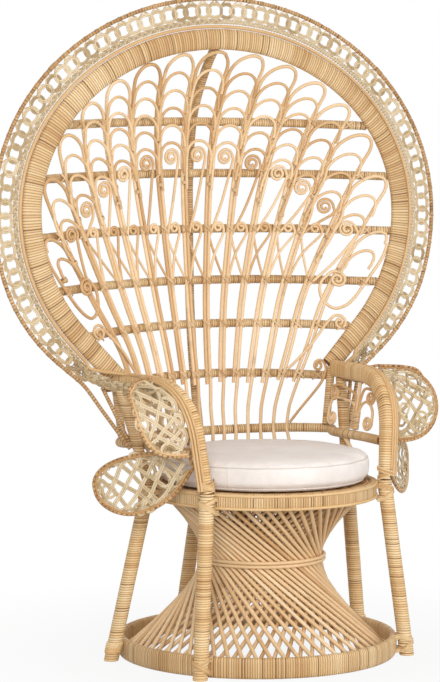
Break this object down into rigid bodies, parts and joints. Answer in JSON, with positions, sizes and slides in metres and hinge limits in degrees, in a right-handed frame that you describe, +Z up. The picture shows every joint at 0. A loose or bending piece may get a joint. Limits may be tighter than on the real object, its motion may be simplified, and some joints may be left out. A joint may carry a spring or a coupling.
{
  "type": "rattan peacock chair",
  "caption": "Wicker armchair with a tall round fan back in a lace-edged hoop, curved arms with lace wings, an hourglass cane pedestal and a loose round cushion.",
  "frame": {"origin": "floor point under the middle of the chair's bounding box", "axes": "+Z up, the seat faces -Y, +X to the left hand of a person who sits in it"},
  "size_m": [1.1976, 0.691, 1.5107],
  "materials": {
    "wrapped_rattan": "rattan poles bound edge to edge in split cane, satin",
    "rattan_cane": "bare round rattan cane, satin",
    "lace_ribbon": "pale flat split cane, matt",
    "woven_deck": "woven split cane, matt",
    "cushion_fabric": "cream plain-woven cotton with sewn seams"
  },
  "bodies": {
    "chair_frame": {"base_ring": "wrapped_rattan", "seat_ring": "wrapped_rattan", "front_left_leg": "wrapped_rattan", "front_right_leg": "wrapped_rattan", "side_left_leg": "wrapped_rattan", "side_right_leg": "wrapped_rattan", "rear_leg": "wrapped_rattan", "pedestal_canes": "rattan_cane", "inner_canes": "rattan_cane", "lower_waist_hoop": "rattan_cane", "upper_waist_hoop": "rattan_cane", "seat_deck": "woven_deck", "seat_slats": "rattan_cane", "hoop_band_left": "wrapped_rattan", "hoop_band_right": "wrapped_rattan", "hoop_edge_rod_left": "rattan_cane", "hoop_edge_rod_right": "rattan_cane", "lace_border_left": "lace_ribbon", "lace_border_right": "lace_ribbon", "cross_bar_1": "wrapped_rattan", "cross_bar_2": "wrapped_rattan", "cross_bar_3": "wrapped_rattan", "cross_bar_4": "wrapped_rattan", "cross_bar_5": "wrapped_rattan", "cross_bar_6": "wrapped_rattan", "seat_back_rail": "wrapped_rattan", "back_spine": "wrapped_rattan", "fan_column_1": "rattan_cane", "fan_column_2": "rattan_cane", "fan_column_3": "rattan_cane", "fan_column_4": "rattan_cane", "fan_column_5": "rattan_cane", "fan_column_6": "rattan_cane", "fan_column_7": "rattan_cane", "fan_column_8": "rattan_cane", "fan_column_9": "rattan_cane", "fan_column_10": "rattan_cane", "fan_column_11": "rattan_cane", "side_petals_left": "rattan_cane", "side_petals_right": "rattan_cane", "arm_left": "wrapped_rattan", "arm_right": "wrapped_rattan", "arm_prop_left": "wrapped_rattan", "arm_prop_right": "wrapped_rattan", "arm_stile_left": "wrapped_rattan", "arm_stile_right": "wrapped_rattan", "rim_rod_left": "rattan_cane", "rim_rod_right": "rattan_cane", "arm_scrolls_left": "rattan_cane", "arm_scrolls_right": "rattan_cane", "upper_wing_left_rim": "rattan_cane", "upper_wing_left_lace": "lace_ribbon", "upper_wing_right_rim": "rattan_cane", "upper_wing_right_lace": "lace_ribbon", "lower_wing_left_rim": "rattan_cane", "lower_wing_left_lace": "lace_ribbon", "lower_wing_right_rim": "rattan_cane", "lower_wing_right_lace": "lace_ribbon"},
    "cushion": {"cushion": "cushion_fabric"}
  },
  "joints": [
    {"name": "cushion_lift", "type": "slide", "parent": "chair_frame", "child": "cushion", "axis": [0, 0, 1], "range_m": [0, 0.12]}
  ]
}
